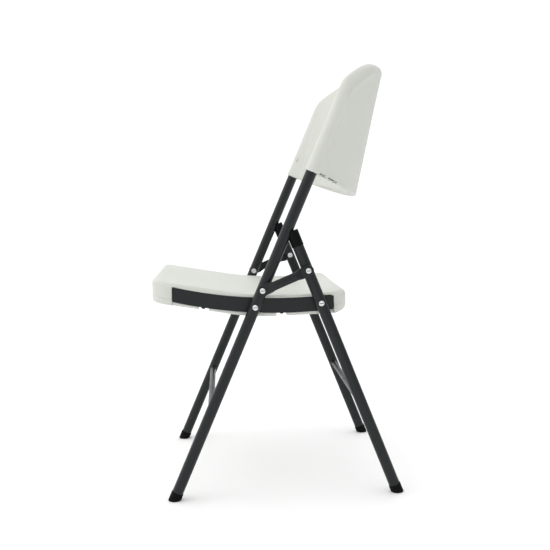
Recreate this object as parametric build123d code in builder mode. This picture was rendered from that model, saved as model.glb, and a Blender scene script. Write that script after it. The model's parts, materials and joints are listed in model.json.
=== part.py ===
"""Folding chair: two leaning tube frames, a moulded seat on steel rails and a curved moulded back.

Row frame in millimetres: +X is the sitter's left, the front of the chair faces -Y, +Z is up,
and the origin is on the floor under the middle of the chair's box.
"""
from build123d import *
import os
from math import asin, cos, hypot, radians, sin

os.makedirs("parts", exist_ok=True)

# ---------------------------------------------------------------- driving dimensions
SIDES = {"left": 1, "right": -1}

LEG_X = 212.0                # centre plane of every leg tube, from the chair's middle
LEG_R = 11.0                 # 22 mm leg tube
LEG_WALL = 1.2
BAR_R = 6.5                  # 13 mm crossbars
BAR_WALL = 1.2
FRONT_BAR_HEIGHT = 173.0     # heights of the crossbars' centres above the floor
REAR_BAR_HEIGHT = 180.0

FRONT_LEAN = radians(23.65)  # front legs lean back as they rise
REAR_LEAN = radians(21.25)   # rear legs lean forward as they rise
FRONT_FOOT_Y = -210.7        # where a front leg's centre line meets the floor
FOOT_SPREAD = 444.55         # floor distance between front and rear centre lines

# distances along the leg centre lines, from the floor
FRONT_SEAT_PIVOT = 414.61
FRONT_LINK_PIVOT = 450.55
REAR_LINK_PIVOT = 482.12
REAR_SEAT_PIVOT = 413.01
FRONT_LEG_END = 828.0        # inside the back shell's sockets
REAR_LEG_END = REAR_LINK_PIVOT + 63.0
LEG_START = 8.0              # the tubes stop inside the feet

RUNNING = 0.06               # radial clearance of a turning rivet
GAP = 0.3                    # clearance between pieces that move past each other

# layers across each side of the chair, outwards from the middle
SHELL_X = 198.0              # seat shell at its rims
SHELL_RECESS_X = 193.0       # seat shell behind the rail
RAIL_X = 193.2
RAIL_T = 2.0
SPACER_IN_X = RAIL_X + RAIL_T
LEG_IN_X = LEG_X - LEG_R
LEG_OUT_X = LEG_X + LEG_R
LINK_X = LEG_OUT_X + 3.0
LINK_T = 3.0

RIVET_R = 3.0
HEAD_R = 5.5
HEAD_H = 2.5
TAIL_R = 5.8
TAIL_H = 1.8                 # tails clear the seat shell by 1.2 mm as it swings past
SADDLE = 1.5                 # how far a rivet head or spacer wraps down over a round tube
HIDDEN_HEAD_H = LINK_X - GAP - LEG_OUT_X

BACK_LOW, BACK_HIGH = 697.0, 962.4   # the back shell's reach along the front legs
BACK_THICK = 26.0
BACK_END_X = 213.0                   # centre of each wing's round edge
BACK_END_BEHIND = -0.5
BACK_DEPTH = (113.8, 60.3)           # how far its middle bows back at BACK_LOW and BACK_HIGH
BACK_RIVET_ALONG = 740.0
BACK_RIVET_R = 2.0
BACK_RIVET_L = 5.0


# ---------------------------------------------------------------- places on the legs
def front_point(along, behind=0.0):
    """(y, z) of a point by its distance along a front leg and squarely behind it."""
    y = FRONT_FOOT_Y + along * sin(FRONT_LEAN) + behind * cos(FRONT_LEAN)
    return y, along * cos(FRONT_LEAN) - behind * sin(FRONT_LEAN)


def rear_point(along):
    """(y, z) of a point by its distance along a rear leg's centre line."""
    y = FRONT_FOOT_Y + FOOT_SPREAD - along * sin(REAR_LEAN)
    return y, along * cos(REAR_LEAN)


def front_section(x, along):
    """Plane square to a front leg: local x is row X, local y points behind the leg."""
    return Plane(origin=(x, *front_point(along)), x_dir=(1, 0, 0),
                 z_dir=(0, sin(FRONT_LEAN), cos(FRONT_LEAN)))


def rear_section(x, along):
    """Plane square to a rear leg: local x is row X, local y points behind the leg."""
    return Plane(origin=(x, *rear_point(along)), x_dir=(1, 0, 0),
                 z_dir=(0, -sin(REAR_LEAN), cos(REAR_LEAN)))


def side_plane(x, point, sign):
    """Plane that faces outwards at |x| on one side of the chair, centred on a (y, z) point."""
    return Plane(origin=(sign * x, *point), x_dir=(0, 1, 0), z_dir=(sign, 0, 0))


def profile_point(y, z):
    """Side-view point measured from where a front leg's centre line meets the floor."""
    return FRONT_FOOT_Y + y, z


SEAT_PIVOT = front_point(FRONT_SEAT_PIVOT)
LINK_FRONT = front_point(FRONT_LINK_PIVOT)
LINK_REAR = rear_point(REAR_LINK_PIVOT)
SEAT_REAR_PIVOT = rear_point(REAR_SEAT_PIVOT)


def save(piece, label):
    piece.part.label = label
    export_step(piece.part, f"parts/{label}.step")


def outer_edges(piece, sign):
    """The edges furthest from the chair's middle."""
    return piece.edges().group_by(Axis.X)[-1 if sign > 0 else 0]


def inner_edges(piece, sign):
    """The edges nearest to the chair's middle."""
    return piece.edges().group_by(Axis.X)[0 if sign > 0 else -1]


# ---------------------------------------------------------------- legs, feet and crossbars
def leg_rod(section, x, length):
    """A plain solid rod where a leg tube runs, used to cope the pieces that meet it."""
    with BuildPart() as rod:
        with BuildSketch(section(x, -40)):
            Circle(LEG_R)
        extrude(amount=length)
    return rod.part


FRONT_RODS = {side: leg_rod(front_section, sign * LEG_X, 1000) for side, sign in SIDES.items()}
REAR_RODS = {side: leg_rod(rear_section, sign * LEG_X, 620) for side, sign in SIDES.items()}


def bow(along):
    """Depth and radius of the back shell's bow at a height along the front legs."""
    slope = (BACK_DEPTH[1] - BACK_DEPTH[0]) / (BACK_HIGH - BACK_LOW)
    depth = BACK_DEPTH[0] + slope * (along - BACK_LOW)
    rise = depth - BACK_END_BEHIND
    return depth, (BACK_END_X ** 2 + rise ** 2) / (2 * rise)


def back_rivet_plane(sign):
    """Plane on a wing's inner face, square to the shell and aimed away from the leg inside it."""
    turn = asin(BACK_END_X / bow(BACK_RIVET_ALONG)[1])
    lean = (cos(FRONT_LEAN), -sin(FRONT_LEAN))
    away = (-sign * sin(turn), -cos(turn) * lean[0], -cos(turn) * lean[1])
    off_centre = (BACK_END_X - LEG_X) * sin(turn) + BACK_END_BEHIND * cos(turn)
    reach = BACK_THICK / 2 - off_centre + 0.05
    y, z = front_point(BACK_RIVET_ALONG)
    return Plane(origin=(sign * LEG_X + away[0] * reach, y + away[1] * reach, z + away[2] * reach),
                 x_dir=(0, sin(FRONT_LEAN), cos(FRONT_LEAN)), z_dir=away)


def leg_tube(label, section, sign, end, rivets, back_rivet=False):
    """A leg tube with plain holes across it for its rivets."""
    with BuildPart() as leg:
        with BuildSketch(section(sign * LEG_X, LEG_START)):
            Circle(LEG_R)
            Circle(LEG_R - LEG_WALL, mode=Mode.SUBTRACT)
        extrude(amount=end - LEG_START)
        for point in rivets:
            with BuildSketch(side_plane(LEG_IN_X - 5, point, sign)):
                Circle(RIVET_R)
            extrude(amount=2 * LEG_R + 10, mode=Mode.SUBTRACT)
        if back_rivet:
            with BuildSketch(back_rivet_plane(sign)):
                Circle(BACK_RIVET_R)
            extrude(amount=-BACK_RIVET_L - 1, mode=Mode.SUBTRACT)
    save(leg, label)


FOOT_R = 12.0
FOOT_H = 17.0
FOOT_EDGE = 1.5


def foot(label, section, sign):
    """A rubber ferrule: a cup over the tube's end, cut level with the floor."""
    with BuildPart() as cup:
        with BuildSketch(section(sign * LEG_X, -12)):
            Circle(FOOT_R)
        extrude(amount=FOOT_H + 12)
        split(bisect_by=Plane.XY, keep=Keep.TOP)
        fillet(cup.edges().filter_by(GeomType.CIRCLE), FOOT_EDGE / 2)
        fillet(cup.edges().filter_by(GeomType.ELLIPSE), FOOT_EDGE)
        with BuildSketch(section(sign * LEG_X, LEG_START)):
            Circle(LEG_R)
        extrude(amount=FOOT_H, mode=Mode.SUBTRACT)
    save(cup, label)


def crossbar(label, point, rods):
    """A bar from leg to leg, with both ends coped to the tubes that it's welded to."""
    with BuildPart() as bar:
        with BuildSketch(side_plane(-LEG_X, point, 1)):
            Circle(BAR_R)
            Circle(BAR_R - BAR_WALL, mode=Mode.SUBTRACT)
        extrude(amount=2 * LEG_X)
        for rod in rods.values():
            add(rod, mode=Mode.SUBTRACT)
    save(bar, label)


for side, sign in SIDES.items():
    leg_tube(f"front_leg_{side}", front_section, sign, FRONT_LEG_END, (SEAT_PIVOT, LINK_FRONT),
             back_rivet=True)
    leg_tube(f"rear_leg_{side}", rear_section, sign, REAR_LEG_END, (SEAT_REAR_PIVOT, LINK_REAR))
    foot(f"front_foot_{side}", front_section, sign)
    foot(f"rear_foot_{side}", rear_section, sign)

crossbar("front_crossbar", front_point(FRONT_BAR_HEIGHT / cos(FRONT_LEAN)), FRONT_RODS)
crossbar("rear_crossbar", rear_point(REAR_BAR_HEIGHT / cos(REAR_LEAN)), REAR_RODS)

# ---------------------------------------------------------------- rear leg caps
CAP_R = 12.0
CAP_START = REAR_LINK_PIVOT + 51.0
CAP_END = REAR_LINK_PIVOT + 82.0


def rear_leg_cap(label, sign):
    """A plastic cap on a rear leg, with a saddle that stops against the front leg."""
    with BuildPart() as cap:
        with BuildSketch(rear_section(sign * LEG_X, CAP_START)):
            Circle(CAP_R)
        extrude(amount=CAP_END - CAP_START)
        with BuildSketch(rear_section(sign * LEG_X, CAP_START)):
            Circle(LEG_R)
        extrude(amount=REAR_LEG_END - CAP_START, mode=Mode.SUBTRACT)
        with BuildSketch(front_section(sign * LEG_X, 450)):
            Circle(LEG_R + GAP)
        extrude(amount=250, mode=Mode.SUBTRACT)
    save(cap, label)


for side, sign in SIDES.items():
    rear_leg_cap(f"rear_leg_cap_{side}", sign)


# ---------------------------------------------------------------- rivets and spacers
def rivet(label, point, sign, head_x, head_h, tail_x, saddle_rod=None):
    """A domed rivet: head at head_x, shank inwards, and a rolled ring for a tail at tail_x."""
    root_x = head_x - SADDLE if saddle_rod else head_x
    with BuildPart() as piece:
        with BuildSketch(side_plane(root_x, point, sign)):
            Circle(HEAD_R)
        extrude(amount=head_x + head_h - root_x)
        fillet(outer_edges(piece, sign), 0.7 * head_h)
        if saddle_rod:
            add(saddle_rod, mode=Mode.SUBTRACT)
        with BuildSketch(side_plane(tail_x, point, sign)):
            Circle(RIVET_R)
        extrude(amount=head_x + 0.5 - tail_x)
        with BuildSketch(side_plane(head_x + head_h - 0.8, point, sign)):
            SlotOverall(8.4, 1.3)
        extrude(amount=2, mode=Mode.SUBTRACT)
        with BuildSketch(side_plane(tail_x - TAIL_H, point, sign)):
            Circle(TAIL_R)
        extrude(amount=TAIL_H)
        fillet(inner_edges(piece, sign), 0.8)
        with BuildSketch(side_plane(tail_x - TAIL_H, point, sign)):
            Circle(RIVET_R - 0.8)
        extrude(amount=4, mode=Mode.SUBTRACT)
    save(piece, label)


def spacer(label, point, sign, start_x, end_x, hole_r, saddle_rod=None):
    """A washer on a rivet, coped where it sits on a round tube."""
    with BuildPart() as ring:
        with BuildSketch(side_plane(start_x, point, sign)):
            Circle(6.5)
            Circle(hole_r, mode=Mode.SUBTRACT)
        extrude(amount=end_x - start_x)
        if saddle_rod:
            add(saddle_rod, mode=Mode.SUBTRACT)
    save(ring, label)


SEAT_TAIL_X = RAIL_X - 0.2   # tails turn just clear of the rail's inner face
HOLE_RUNNING = RIVET_R + RUNNING

for side, sign in SIDES.items():
    rivet(f"front_seat_rivet_{side}", SEAT_PIVOT, sign, LEG_OUT_X, HIDDEN_HEAD_H, SEAT_TAIL_X,
          FRONT_RODS[side])
    rivet(f"rear_seat_rivet_{side}", SEAT_REAR_PIVOT, sign, LEG_OUT_X, HIDDEN_HEAD_H, SEAT_TAIL_X,
          REAR_RODS[side])
    rivet(f"front_link_rivet_{side}", LINK_FRONT, sign, LINK_X + LINK_T + 0.2, HEAD_H,
          LEG_IN_X)
    spacer(f"front_seat_spacer_{side}", SEAT_PIVOT, sign, SPACER_IN_X, LEG_IN_X - GAP,
           HOLE_RUNNING)
    spacer(f"rear_seat_spacer_{side}", SEAT_REAR_PIVOT, sign, SPACER_IN_X, LEG_IN_X - GAP,
           HOLE_RUNNING)
    spacer(f"front_link_spacer_{side}", LINK_FRONT, sign, LEG_OUT_X - 2, LINK_X - GAP, RIVET_R,
           FRONT_RODS[side])
    spacer(f"rear_link_spacer_{side}", LINK_REAR, sign, LEG_OUT_X - 2, LINK_X - GAP, RIVET_R,
           REAR_RODS[side])


def rear_link_rivet_tail(label, sign):
    """The inner half of the rivet that joins link and rear leg: shank and rolled tail."""
    tail_x = LEG_IN_X
    with BuildPart() as tail:
        with BuildSketch(side_plane(tail_x, LINK_REAR, sign)):
            Circle(RIVET_R)
        extrude(amount=LINK_X - GAP - tail_x)
        with BuildSketch(side_plane(tail_x - TAIL_H, LINK_REAR, sign)):
            Circle(TAIL_R)
        extrude(amount=TAIL_H)
        fillet(inner_edges(tail, sign), 0.8)
        with BuildSketch(side_plane(tail_x - TAIL_H, LINK_REAR, sign)):
            Circle(RIVET_R - 0.8)
        extrude(amount=4, mode=Mode.SUBTRACT)
    save(tail, label)


def link_rear_rivet(label, sign):
    """The outer half of the same rivet: a domed head whose shank fills the link's hole."""
    with BuildPart() as head:
        with BuildSketch(side_plane(LINK_X + LINK_T, LINK_REAR, sign)):
            Circle(HEAD_R)
        extrude(amount=HEAD_H)
        fillet(outer_edges(head, sign), 0.7 * HEAD_H)
        with BuildSketch(side_plane(LINK_X + LINK_T + HEAD_H - 0.8, LINK_REAR, sign)):
            SlotOverall(8.4, 1.3)
        extrude(amount=2, mode=Mode.SUBTRACT)
        with BuildSketch(side_plane(LINK_X, LINK_REAR, sign)):
            Circle(RIVET_R)
        extrude(amount=LINK_T)
    save(head, label)


# ---------------------------------------------------------------- folding links
LINK_END_R = 11.0
LINK_LENGTH = hypot(LINK_REAR[0] - LINK_FRONT[0], LINK_REAR[1] - LINK_FRONT[1])
LINK_DIR = ((LINK_REAR[0] - LINK_FRONT[0]) / LINK_LENGTH,
            (LINK_REAR[1] - LINK_FRONT[1]) / LINK_LENGTH)
LINK_BODY_W = 17.0           # a 16 mm tube, slightly flattened between its pressed ends
LINK_BODY_H = 8.5
LINK_FLAT = 15.0             # flat pad from a pivot to where the tube starts to swell
LINK_SWELL = 9.0             # length of the swell itself


def link_section(sign, along):
    """Plane across a link at a distance from its front pivot, centred in the plate."""
    y = LINK_FRONT[0] + LINK_DIR[0] * along
    z = LINK_FRONT[1] + LINK_DIR[1] * along
    return Plane(origin=(sign * LINK_X, y, z), x_dir=(sign, 0, 0), z_dir=(0, *LINK_DIR))


def folding_link(label, sign):
    """A short tube with both ends pressed flat and drilled."""
    round_start = LINK_FLAT + LINK_SWELL
    sections = ((LINK_FLAT, 2 * LINK_END_R - 1, LINK_T, 1.2),
                (round_start, LINK_BODY_W, LINK_BODY_H, 4.0),
                (LINK_LENGTH - round_start, LINK_BODY_W, LINK_BODY_H, 4.0),
                (LINK_LENGTH - LINK_FLAT, 2 * LINK_END_R - 1, LINK_T, 1.2))
    with BuildPart() as link:
        for along, width, height, radius in sections:
            with BuildSketch(link_section(sign, along)):
                with Locations((height / 2, 0)):
                    RectangleRounded(height, width, radius)
        loft(ruled=True)
        for along, step in ((0, LINK_FLAT + 1), (LINK_LENGTH, -LINK_FLAT - 1)):
            end = link_section(sign, along)
            with BuildSketch(side_plane(LINK_X, (end.origin.Y, end.origin.Z), sign)):
                Circle(LINK_END_R)
            extrude(amount=LINK_T)
            with BuildSketch(link_section(sign, along + step / 2)):
                with Locations((LINK_T / 2, 0)):
                    Rectangle(LINK_T, 2 * LINK_END_R - 1)
            extrude(amount=abs(step) / 2, both=True)
        with BuildSketch(side_plane(LINK_X, LINK_FRONT, sign)):
            Circle(HOLE_RUNNING)
        extrude(amount=LINK_T, mode=Mode.SUBTRACT)
        with BuildSketch(side_plane(LINK_X, LINK_REAR, sign)):
            Circle(RIVET_R)
        extrude(amount=LINK_T, mode=Mode.SUBTRACT)
    save(link, label)


for side, sign in SIDES.items():
    rear_link_rivet_tail(f"rear_link_rivet_tail_{side}", sign)
    link_rear_rivet(f"link_rear_rivet_{side}", sign)
    folding_link(f"folding_link_{side}", sign)

# ---------------------------------------------------------------- seat rails and cross rods
RAIL_H = 29.0
RAIL_ARC = ((5.5, 391.5), (163.6, 366.9), (321.7, 369.6))   # its lower edge, from the front foot
ROD_R = 4.5
ROD_CENTRES = {"front": (66.0, 380.4), "rear": (219.0, 367.0)}


def seat_rail(label, sign):
    """A curved flat steel bar on the side of the seat."""
    low = [profile_point(*p) for p in RAIL_ARC]
    high = [(y, z + RAIL_H) for y, z in low]
    with BuildPart() as rail:
        with BuildSketch(Plane.YZ.offset(RAIL_X if sign > 0 else -RAIL_X - RAIL_T)) as outline:
            with BuildLine():
                ThreePointArc(*low)
                Line(low[2], high[2])
                ThreePointArc(*high)
                Line(high[0], low[0])
            make_face()
            fillet(outline.vertices(), 3.0)
        extrude(amount=RAIL_T)
        for point in (SEAT_PIVOT, SEAT_REAR_PIVOT):
            with BuildSketch(side_plane(RAIL_X - 1, point, sign)):
                Circle(HOLE_RUNNING)
            extrude(amount=RAIL_T + 2, mode=Mode.SUBTRACT)
    save(rail, label)


ROD_SCREW_X = 100.0
ROD_SCREW_R = 1.8


def cross_rod(label, centre):
    """A steel rod welded between the rails, drilled for the screws that hold the seat."""
    y, z = profile_point(*centre)
    with BuildPart() as rod:
        with BuildSketch(Plane.YZ.offset(-RAIL_X)):
            with Locations((y, z)):
                Circle(ROD_R)
        extrude(amount=2 * RAIL_X)
        with BuildSketch(Plane.XY.offset(z - 10)):
            with Locations((-ROD_SCREW_X, y), (ROD_SCREW_X, y)):
                Circle(ROD_SCREW_R + 0.2)
        extrude(amount=20, mode=Mode.SUBTRACT)
    save(rod, label)


for side, sign in SIDES.items():
    seat_rail(f"seat_rail_{side}", sign)
for place, centre in ROD_CENTRES.items():
    cross_rod(f"seat_cross_rod_{place}", centre)

# ---------------------------------------------------------------- seat shell
SEAT_WALL = 2.8
SEAT_FRONT, SEAT_BACK = -35.0, 350.0      # from the front foot's centre line
CHANNEL_MOUTH, CHANNEL_ROOF = 23.0, 15.0  # widths of the grooves that take the cross rods
RECESS = (5.0, 322.3)                     # the rail's bay along the shell's side
PIVOT_POCKET_R = 7.5
PIVOT_POCKET_X = 189.8


def seat_profile(inset=0.0):
    """Side view of the seat: a straight fall from the front, a hollow, and a slight rear rise."""
    top_front = profile_point(SEAT_FRONT, 436)
    top_bend = profile_point(110, 410.5)
    top_back = profile_point(SEAT_BACK, 408.4)
    low_front = profile_point(SEAT_FRONT + 1, 391)
    low_bend = profile_point(114, 364.8)
    low_hollow = profile_point(215, 357.9)
    low_back = profile_point(SEAT_BACK, 361.5)
    with BuildSketch(Plane.YZ) as side_view:
        with BuildLine():
            fall = Line(top_front, top_bend)
            TangentArc(top_bend, top_back, tangent=fall % 1)
            Line(top_back, low_back)
            Line(low_back, low_hollow)
            under = Line(low_front, low_bend)
            TangentArc(low_bend, low_hollow, tangent=under % 1)
            Line(low_front, top_front)
        make_face()
        front = side_view.vertices().sort_by(Axis.X)[:2]
        back = side_view.vertices().sort_by(Axis.X)[-2:].sort_by(Axis.Y)
        fillet(front, 8)
        fillet(back[0], 18)
        fillet(back[1], 12)
        if inset:
            offset(amount=-inset, mode=Mode.REPLACE)
    return side_view.sketch


def seat_plan(half_width, inset=0.0):
    """Plan view of the seat, with rounded corners."""
    front, back = profile_point(SEAT_FRONT, 0)[0] + inset, profile_point(SEAT_BACK, 0)[0] - inset
    with BuildSketch(Plane.XY.offset(300)) as plan:
        with Locations((0, (front + back) / 2)):
            RectangleRounded(2 * half_width, back - front, 34 - inset)
    return plan.sketch


def channel_cutter(centre, grow=0.0):
    """The groove for a cross rod: wide at the mouth, narrow at the roof."""
    y, z = profile_point(*centre)
    roof, mouth = z + ROD_R + 0.3 + grow, z - 12
    roof_half, mouth_half = CHANNEL_ROOF / 2 + grow, CHANNEL_MOUTH / 2 + grow
    with BuildPart() as cutter:
        with BuildSketch(Plane.YZ.offset(-SHELL_X - 5)):
            Polygon((y - roof_half, roof), (y + roof_half, roof), (y + mouth_half, mouth),
                    (y - mouth_half, mouth), align=None)
        extrude(amount=2 * SHELL_X + 10)
    return cutter.part


def rail_bay():
    """What the shell's sides give up to the rails, from the rails' top edge down."""
    top = [(y, z + RAIL_H + 0.6) for y, z in (profile_point(*p) for p in RAIL_ARC)]
    first, last = profile_point(RECESS[0], 0)[0], profile_point(RECESS[1], 0)[0]
    with BuildPart() as bay:
        for x in (SHELL_RECESS_X, -SHELL_RECESS_X - 10):
            with BuildSketch(Plane.YZ.offset(x)):
                with BuildLine():
                    ThreePointArc((first, top[0][1]), top[1], (last, top[2][1]))
                    Polyline((last, top[2][1]), (last, 340), (first, 340), (first, top[0][1]))
                make_face()
            extrude(amount=10)
    return bay.part


CHANNELS = [channel_cutter(centre) for centre in ROD_CENTRES.values()]
CHANNEL_WALLS = [channel_cutter(centre, SEAT_WALL) for centre in ROD_CENTRES.values()]
RAIL_BAY = rail_bay()

with BuildPart() as seat_cavity:
    extrude(seat_plan(SHELL_RECESS_X - 6.0, SEAT_WALL), amount=200)
    extrude(seat_profile(SEAT_WALL), amount=SHELL_X, both=True, mode=Mode.INTERSECT)
    for wall in CHANNEL_WALLS:
        add(wall, mode=Mode.SUBTRACT)

with BuildPart() as seat_shell:
    extrude(seat_plan(SHELL_X), amount=200)
    extrude(seat_profile(), amount=SHELL_X, both=True, mode=Mode.INTERSECT)
    add(RAIL_BAY, mode=Mode.SUBTRACT)
    for channel in CHANNELS:
        add(channel, mode=Mode.SUBTRACT)
    add(seat_cavity.part, mode=Mode.SUBTRACT)
    for sign in SIDES.values():
        for point in (SEAT_PIVOT, SEAT_REAR_PIVOT):
            with BuildSketch(side_plane(PIVOT_POCKET_X, point, sign)):
                Circle(PIVOT_POCKET_R)
            extrude(amount=SHELL_X - PIVOT_POCKET_X - 3, mode=Mode.SUBTRACT)
    for centre in ROD_CENTRES.values():
        y, z = profile_point(*centre)
        with BuildSketch(Plane.XY.offset(z)):
            with Locations((-ROD_SCREW_X, y), (ROD_SCREW_X, y)):
                Circle(ROD_SCREW_R)
        extrude(amount=ROD_R + 2 * SEAT_WALL, mode=Mode.SUBTRACT)
save(seat_shell, "seat_shell")


def rod_screws(label):
    """Pan-head screws up through the cross rods into the seat's underside."""
    with BuildPart() as screws:
        for centre in ROD_CENTRES.values():
            y, z = profile_point(*centre)
            spots = ((-ROD_SCREW_X, y), (ROD_SCREW_X, y))
            with BuildSketch(Plane.XY.offset(z - ROD_R - 1.2)):
                with Locations(*spots):
                    Circle(3.6)
            extrude(amount=2.4)
            with BuildSketch(Plane.YZ.offset(-ROD_SCREW_X - 20)):
                with Locations((y, z)):
                    Circle(ROD_R)
            extrude(amount=2 * ROD_SCREW_X + 40, mode=Mode.SUBTRACT)
            with BuildSketch(Plane.XY.offset(z - ROD_R - 0.5)):
                with Locations(*spots):
                    Circle(ROD_SCREW_R)
            extrude(amount=2 * ROD_R + 12)
    save(screws, label)


rod_screws("seat_rod_screws")

# ---------------------------------------------------------------- back shell
BACK_WALL = 2.4
BACK_HALF_WIDTH = BACK_END_X + BACK_THICK / 2
BACK_SIDE_TOP = 922.4                # where the straight sides would meet the arched top
BACK_CORNER_R = 100.0
BACK_RIM_R = 9.0
SOCKET_R = LEG_R + 0.05


def bowed_panel(thickness, low, half_width, crown):
    """The bowed slab of the back: a loft of two curved strips, cut to its front-view outline."""
    with BuildPart() as panel:
        for along in (BACK_LOW - 20, BACK_HIGH + 20):
            with BuildSketch(front_section(0, along)):
                with BuildLine(mode=Mode.PRIVATE) as spine:
                    ThreePointArc((-BACK_END_X, BACK_END_BEHIND), (0, bow(along)[0]),
                                  (BACK_END_X, BACK_END_BEHIND))
                SlotArc(spine.wire(), thickness)
        loft()
        outline_plane = Plane(origin=(0, *front_point(0)), x_dir=(1, 0, 0),
                              z_dir=(0, -cos(FRONT_LEAN), sin(FRONT_LEAN)))
        with BuildSketch(outline_plane) as outline:
            with BuildLine():
                Polyline((-half_width, BACK_SIDE_TOP), (-half_width, low), (half_width, low),
                         (half_width, BACK_SIDE_TOP))
                ThreePointArc((half_width, BACK_SIDE_TOP), (0, crown), (-half_width, BACK_SIDE_TOP))
            make_face()
            fillet(outline.vertices().group_by(Axis.Y)[1], BACK_CORNER_R)
        extrude(amount=250, both=True, mode=Mode.INTERSECT)
    return panel.part


BACK_CAVITY_X = LEG_IN_X - 3.0       # the hollow stops short of the leg sockets
BACK_CAVITY_CROWN = BACK_HIGH - 7.0
MOUTH_R, MOUTH_DEPTH = LEG_R + 0.8, 5.0
VENTS = ((45.1, 32.0), (52.2, 19.0))  # angle round the bow's centre and length, on each side
VENT_H = 4.2

back_cavity = bowed_panel(BACK_THICK - 2 * BACK_WALL, BACK_LOW + BACK_WALL, BACK_CAVITY_X,
                          BACK_CAVITY_CROWN)

with BuildPart() as backrest_shell:
    add(bowed_panel(BACK_THICK, BACK_LOW, BACK_HALF_WIDTH + 1, BACK_HIGH))
    up_the_back = Axis((0, 0, 0), (0, sin(FRONT_LEAN), cos(FRONT_LEAN)))
    fillet(backrest_shell.faces().sort_by(up_the_back)[-1].edges(), BACK_RIM_R)
    add(back_cavity, mode=Mode.SUBTRACT)
    for sign in SIDES.values():
        with BuildSketch(front_section(sign * LEG_X, BACK_LOW)):
            Circle(SOCKET_R)
        extrude(amount=FRONT_LEG_END + 1 - BACK_LOW, mode=Mode.SUBTRACT)
        with BuildSketch(front_section(sign * LEG_X, BACK_LOW)):
            Circle(MOUTH_R)
        extrude(amount=MOUTH_DEPTH, mode=Mode.SUBTRACT)
        with BuildSketch(back_rivet_plane(sign)):
            Circle(BACK_RIVET_R)
        extrude(amount=-BACK_THICK / 2, mode=Mode.SUBTRACT)
        with BuildSketch(front_section(0, BACK_LOW)):
            for angle, length in VENTS:
                turn = radians(angle)
                depth, radius = bow(BACK_LOW)
                reach = radius + BACK_THICK / 2
                spot = (sign * reach * sin(turn), depth - radius + reach * cos(turn))
                with Locations(Location(spot, -sign * angle)):
                    Rectangle(length, BACK_THICK / 2 + 6)
        extrude(amount=VENT_H, mode=Mode.SUBTRACT)
save(backrest_shell, "backrest_shell")

with BuildPart() as back_rivets:
    for sign in SIDES.values():
        with BuildSketch(back_rivet_plane(sign)):
            Circle(4.5)
        extrude(amount=1.8, taper=30)
        with BuildSketch(back_rivet_plane(sign)):
            Circle(BACK_RIVET_R)
        extrude(amount=-BACK_RIVET_L)
save(back_rivets, "back_rivets")
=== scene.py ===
"""Looks for the folding chair: moulded shells, enamelled tube frame, rivets, feet, light and camera."""
import json
import math

import bmesh
import bpy
import numpy as np
from bpy.props import FloatProperty, FloatVectorProperty, PointerProperty, StringProperty
from mathutils import Matrix, Vector


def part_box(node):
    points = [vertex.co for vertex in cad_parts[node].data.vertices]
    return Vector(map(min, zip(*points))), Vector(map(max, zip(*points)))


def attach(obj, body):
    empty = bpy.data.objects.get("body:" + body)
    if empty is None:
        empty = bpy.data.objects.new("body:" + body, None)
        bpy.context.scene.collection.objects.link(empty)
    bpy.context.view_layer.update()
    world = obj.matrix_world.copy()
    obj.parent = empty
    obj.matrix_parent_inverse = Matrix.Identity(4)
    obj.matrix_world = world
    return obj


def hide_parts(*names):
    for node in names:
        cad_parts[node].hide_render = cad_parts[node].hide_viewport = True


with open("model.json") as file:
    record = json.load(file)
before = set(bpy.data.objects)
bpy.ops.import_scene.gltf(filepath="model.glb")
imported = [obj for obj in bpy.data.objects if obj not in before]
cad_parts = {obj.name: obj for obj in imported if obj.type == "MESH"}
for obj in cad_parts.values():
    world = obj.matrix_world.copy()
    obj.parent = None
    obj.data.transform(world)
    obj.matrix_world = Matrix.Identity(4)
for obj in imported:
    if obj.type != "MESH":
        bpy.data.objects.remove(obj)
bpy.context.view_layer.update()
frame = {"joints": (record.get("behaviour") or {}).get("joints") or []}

bl_info = {
    "name": "Folding Chair",
    "version": (1, 0, 0),
    "blender": (4, 5, 0),
    "location": "3D View > Sidebar > Folding Chair",
    "description": "Dresses a folding chair's working frame with moulded shells, enamel, rivets and feet",
    "category": "Object",
}

MM = 0.001
LEG_X, LEG_R = 212.0, 11.0    # the legs' centres out from the middle, and their radius
SIDES = {"left": 1, "right": -1}


# ---------------------------------------------------------------- places, read from the frame
def joint_place(name):
    """A joint's (y, z) in millimetres."""
    joint = next(j for j in frame["joints"] if j["name"] == name)
    return joint["pos_m"][1] / MM, joint["pos_m"][2] / MM


SEAT_PIVOT = joint_place("seat_fold")
LINK_FRONT = joint_place("link_left_fold")
SEAT_LOW, SEAT_HIGH = (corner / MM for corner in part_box("seat_shell"))
LINK_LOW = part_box("folding_link_left")[0] / MM
FRONT_LEAN = math.atan2(LINK_FRONT[0] - SEAT_PIVOT[0], LINK_FRONT[1] - SEAT_PIVOT[1])


def front_leg_point(along, behind=0.0):
    """(y, z) by distance up from the seat pivot along a front leg, and squarely behind it."""
    y = SEAT_PIVOT[0] + along * math.sin(FRONT_LEAN) + behind * math.cos(FRONT_LEAN)
    return y, SEAT_PIVOT[1] + along * math.cos(FRONT_LEAN) - behind * math.sin(FRONT_LEAN)


# ---------------------------------------------------------------- colour and node helpers
def linear(hex_colour):
    """An sRGB hex colour as linear RGBA."""
    parts = [int(hex_colour[i:i + 2], 16) / 255 for i in (1, 3, 5)]
    return [c / 12.92 if c <= 0.04045 else ((c + 0.055) / 1.055) ** 2.4 for c in parts] + [1.0]


def add_node(tree, kind, links=None, **settings):
    """Adds a shader node, sets its properties and sockets, and links its inputs."""
    node = tree.nodes.new("ShaderNode" + kind)
    for name, value in settings.items():
        if hasattr(node, name):
            setattr(node, name, value)
        else:
            node.inputs[name.replace("_", " ")].default_value = value
    for socket, source in (links or {}).items():
        tree.links.new(source, node.inputs[socket])
    return node


def per_metre(size_mm):
    """Scale of a pattern whose features repeat every size_mm, in object coordinates."""
    return 1 / (size_mm * MM)


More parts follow.
